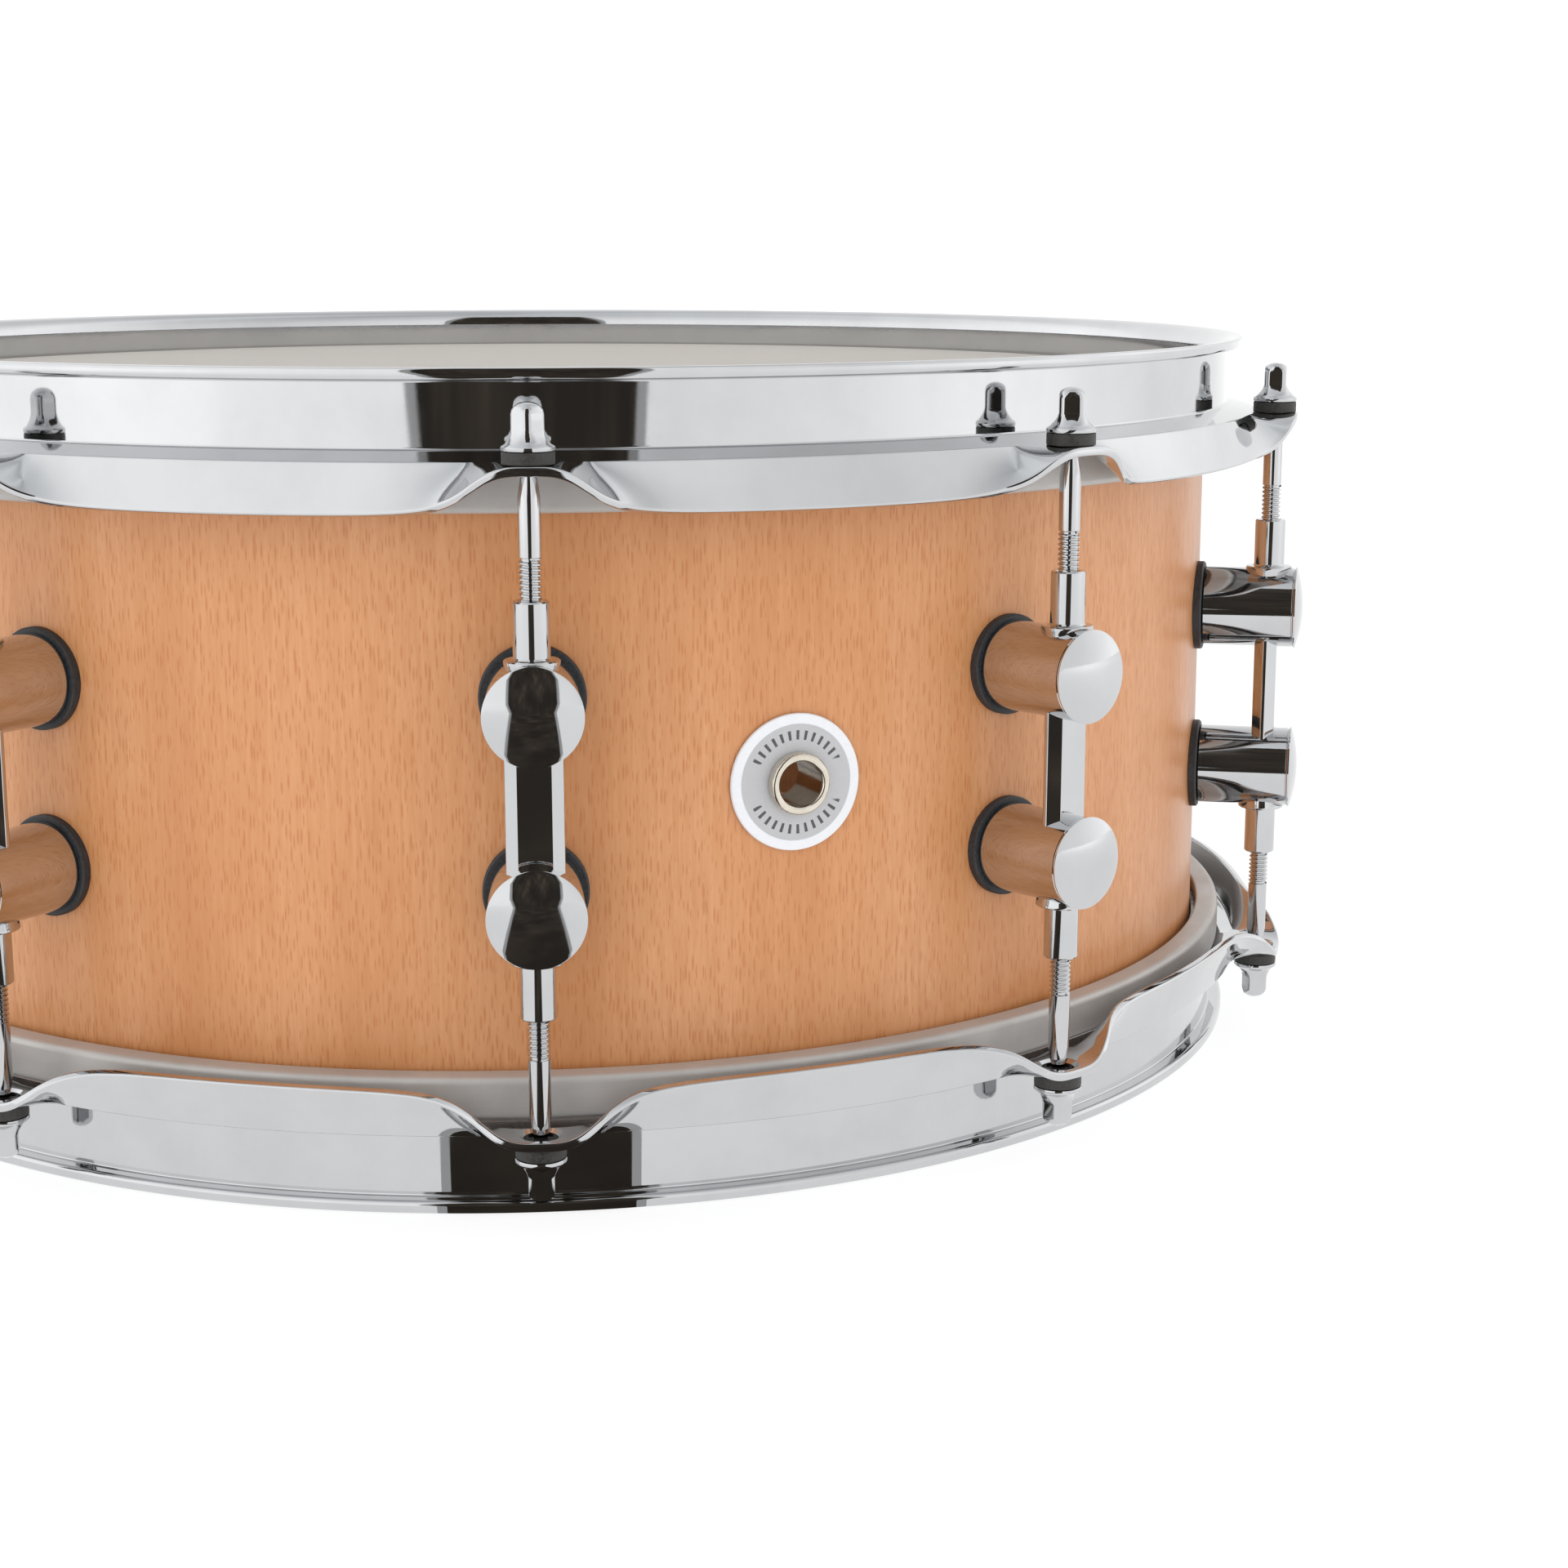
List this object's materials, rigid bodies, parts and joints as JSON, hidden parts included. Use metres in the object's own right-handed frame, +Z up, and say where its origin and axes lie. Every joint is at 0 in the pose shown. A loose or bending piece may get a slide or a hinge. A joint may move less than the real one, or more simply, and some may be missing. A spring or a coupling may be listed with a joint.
{
  "type": "snare drum",
  "caption": "Snare drum with a beech ply shell, tube lugs, pressed metal hoops, key tension rods, two heads, a throw-off strainer and snare wires.",
  "frame": {"origin": "on the drum's axis in the plane of the snare-side hoop's lip, which the drum stands on", "axes": "+Z up through the batter head; the air vent and badge face -Y; +X to the right of the vent"},
  "size_m": [0.408, 0.391, 0.175],
  "materials": {
    "shell_wood": "satin clear lacquer over beech",
    "badge_disc": "white ring with a pale grey disc",
    "vent_nickel": "polished nickel plate",
    "coated_film": "rough sprayed coating",
    "clear_film": "smooth hazy film",
    "satin_alloy": "satin drawn channel",
    "chrome_plate": "mirror chrome plate",
    "rod_chrome": "mirror chrome plate, black nylon washer",
    "bright_steel": "bright drawn steel",
    "strap_film": "clear plastic ribbon"
  },
  "bodies": {
    "drum": {"shell": "shell_wood", "badge_plate": "badge_disc", "vent_grommet": "vent_nickel", "batter_head": "coated_film", "snare_side_head": "clear_film", "batter_flesh_hoop": "satin_alloy", "snare_side_flesh_hoop": "satin_alloy", "batter_hoop": "chrome_plate", "snare_side_hoop": "chrome_plate", "lug_01": "chrome_plate", "lug_02": "chrome_plate", "lug_03": "chrome_plate", "lug_04": "chrome_plate", "lug_05": "chrome_plate", "lug_06": "chrome_plate", "lug_07": "chrome_plate", "lug_08": "chrome_plate", "lug_09": "chrome_plate", "lug_10": "chrome_plate", "strainer_base": "chrome_plate", "strainer_lever_pin": "bright_steel", "strainer_mount_screw_1": "bright_steel", "strainer_mount_screw_2": "bright_steel", "butt_body": "chrome_plate", "butt_clamp_plate": "chrome_plate", "butt_clamp_screw_1": "bright_steel", "butt_clamp_screw_2": "bright_steel", "butt_mount_screw_1": "bright_steel", "butt_mount_screw_2": "bright_steel", "butt_strap": "strap_film"},
    "batter_rod_01": {"batter_tension_rod_01": "rod_chrome"},
    "batter_rod_02": {"batter_tension_rod_02": "rod_chrome"},
    "batter_rod_03": {"batter_tension_rod_03": "rod_chrome"},
    "batter_rod_04": {"batter_tension_rod_04": "rod_chrome"},
    "batter_rod_05": {"batter_tension_rod_05": "rod_chrome"},
    "batter_rod_06": {"batter_tension_rod_06": "rod_chrome"},
    "batter_rod_07": {"batter_tension_rod_07": "rod_chrome"},
    "batter_rod_08": {"batter_tension_rod_08": "rod_chrome"},
    "batter_rod_09": {"batter_tension_rod_09": "rod_chrome"},
    "batter_rod_10": {"batter_tension_rod_10": "rod_chrome"},
    "snare_side_rod_01": {"snare_side_tension_rod_01": "rod_chrome"},
    "snare_side_rod_02": {"snare_side_tension_rod_02": "rod_chrome"},
    "snare_side_rod_03": {"snare_side_tension_rod_03": "rod_chrome"},
    "snare_side_rod_04": {"snare_side_tension_rod_04": "rod_chrome"},
    "snare_side_rod_05": {"snare_side_tension_rod_05": "rod_chrome"},
    "snare_side_rod_06": {"snare_side_tension_rod_06": "rod_chrome"},
    "snare_side_rod_07": {"snare_side_tension_rod_07": "rod_chrome"},
    "snare_side_rod_08": {"snare_side_tension_rod_08": "rod_chrome"},
    "snare_side_rod_09": {"snare_side_tension_rod_09": "rod_chrome"},
    "snare_side_rod_10": {"snare_side_tension_rod_10": "rod_chrome"},
    "lever": {"strainer_lever": "chrome_plate"},
    "slide": {"strainer_slide": "chrome_plate"},
    "knob": {"strainer_tension_knob": "chrome_plate"},
    "clamp": {"strainer_clamp_block": "chrome_plate", "strainer_clamp_plate": "chrome_plate", "strainer_clamp_screw_1": "bright_steel", "strainer_clamp_screw_2": "bright_steel", "strainer_strap": "strap_film"},
    "snares": {"snare_wires": "bright_steel"}
  },
  "joints": [
    {"name": "batter_rod_01_turn", "type": "hinge", "parent": "drum", "child": "batter_rod_01", "pos_m": [0.06017, -0.18517, 0.1375], "axis": [0, 0, 1], "continuous": true},
    {"name": "batter_rod_02_turn", "type": "hinge", "parent": "drum", "child": "batter_rod_02", "pos_m": [0.15752, -0.11444, 0.1375], "axis": [0, 0, 1], "continuous": true},
    {"name": "batter_rod_03_turn", "type": "hinge", "parent": "drum", "child": "batter_rod_03", "pos_m": [0.1947, 0, 0.1375], "axis": [0, 0, 1], "continuous": true},
    {"name": "batter_rod_04_turn", "type": "hinge", "parent": "drum", "child": "batter_rod_04", "pos_m": [0.15752, 0.11444, 0.1375], "axis": [0, 0, 1], "continuous": true},
    {"name": "batter_rod_05_turn", "type": "hinge", "parent": "drum", "child": "batter_rod_05", "pos_m": [0.06017, 0.18517, 0.1375], "axis": [0, 0, 1], "continuous": true},
    {"name": "batter_rod_06_turn", "type": "hinge", "parent": "drum", "child": "batter_rod_06", "pos_m": [-0.06017, 0.18517, 0.1375], "axis": [0, 0, 1], "continuous": true},
    {"name": "batter_rod_07_turn", "type": "hinge", "parent": "drum", "child": "batter_rod_07", "pos_m": [-0.15752, 0.11444, 0.1375], "axis": [0, 0, 1], "continuous": true},
    {"name": "batter_rod_08_turn", "type": "hinge", "parent": "drum", "child": "batter_rod_08", "pos_m": [-0.1947, 0, 0.1375], "axis": [0, 0, 1], "continuous": true},
    {"name": "batter_rod_09_turn", "type": "hinge", "parent": "drum", "child": "batter_rod_09", "pos_m": [-0.15752, -0.11444, 0.1375], "axis": [0, 0, 1], "continuous": true},
    {"name": "batter_rod_10_turn", "type": "hinge", "parent": "drum", "child": "batter_rod_10", "pos_m": [-0.06017, -0.18517, 0.1375], "axis": [0, 0, 1], "continuous": true},
    {"name": "snare_side_rod_01_turn", "type": "hinge", "parent": "drum", "child": "snare_side_rod_01", "pos_m": [0.06017, -0.18517, 0.0375], "axis": [0, 0, 1], "continuous": true},
    {"name": "snare_side_rod_02_turn", "type": "hinge", "parent": "drum", "child": "snare_side_rod_02", "pos_m": [0.15752, -0.11444, 0.0375], "axis": [0, 0, 1], "continuous": true},
    {"name": "snare_side_rod_03_turn", "type": "hinge", "parent": "drum", "child": "snare_side_rod_03", "pos_m": [0.1947, 0, 0.0375], "axis": [0, 0, 1], "continuous": true},
    {"name": "snare_side_rod_04_turn", "type": "hinge", "parent": "drum", "child": "snare_side_rod_04", "pos_m": [0.15752, 0.11444, 0.0375], "axis": [0, 0, 1], "continuous": true},
    {"name": "snare_side_rod_05_turn", "type": "hinge", "parent": "drum", "child": "snare_side_rod_05", "pos_m": [0.06017, 0.18517, 0.0375], "axis": [0, 0, 1], "continuous": true},
    {"name": "snare_side_rod_06_turn", "type": "hinge", "parent": "drum", "child": "snare_side_rod_06", "pos_m": [-0.06017, 0.18517, 0.0375], "axis": [0, 0, 1], "continuous": true},
    {"name": "snare_side_rod_07_turn", "type": "hinge", "parent": "drum", "child": "snare_side_rod_07", "pos_m": [-0.15752, 0.11444, 0.0375], "axis": [0, 0, 1], "continuous": true},
    {"name": "snare_side_rod_08_turn", "type": "hinge", "parent": "drum", "child": "snare_side_rod_08", "pos_m": [-0.1947, 0, 0.0375], "axis": [0, 0, 1], "continuous": true},
    {"name": "snare_side_rod_09_turn", "type": "hinge", "parent": "drum", "child": "snare_side_rod_09", "pos_m": [-0.15752, -0.11444, 0.0375], "axis": [0, 0, 1], "continuous": true},
    {"name": "snare_side_rod_10_turn", "type": "hinge", "parent": "drum", "child": "snare_side_rod_10", "pos_m": [-0.06017, -0.18517, 0.0375], "axis": [0, 0, 1], "continuous": true},
    {"name": "lever_throw", "type": "hinge", "parent": "drum", "child": "lever", "pos_m": [0.1788, 0.0581, 0.1035], "axis": [-0.309, 0.9511, 0], "range_deg": [0, 90]},
    {"name": "slide_drop", "type": "slide", "parent": "drum", "child": "slide", "axis": [0, 0, -1], "range_m": [0, 0.004]},
    {"name": "knob_turn", "type": "hinge", "parent": "slide", "child": "knob", "pos_m": [0.18831, 0.06119, 0.0635], "axis": [0, 0, 1], "range_deg": [0, 900]},
    {"name": "clamp_drop", "type": "slide", "parent": "slide", "child": "clamp", "axis": [0, 0, -1], "range_m": [0, 0.002]},
    {"name": "snare_drop", "type": "hinge", "parent": "drum", "child": "snares", "pos_m": [-0.15217, -0.04944, 0.01245], "axis": [-0.309, 0.9511, 0], "range_deg": [0, 0.72]}
  ],
  "couplings": [
    {"joint": "lever_throw", "follows": "slide_drop", "rad_per_m": 392.69},
    {"joint": "snare_drop", "follows": "slide_drop", "rad_per_m": 3.1415},
    {"joint": "knob_turn", "follows": "clamp_drop", "rad_per_m": 7853.9}
  ]
}
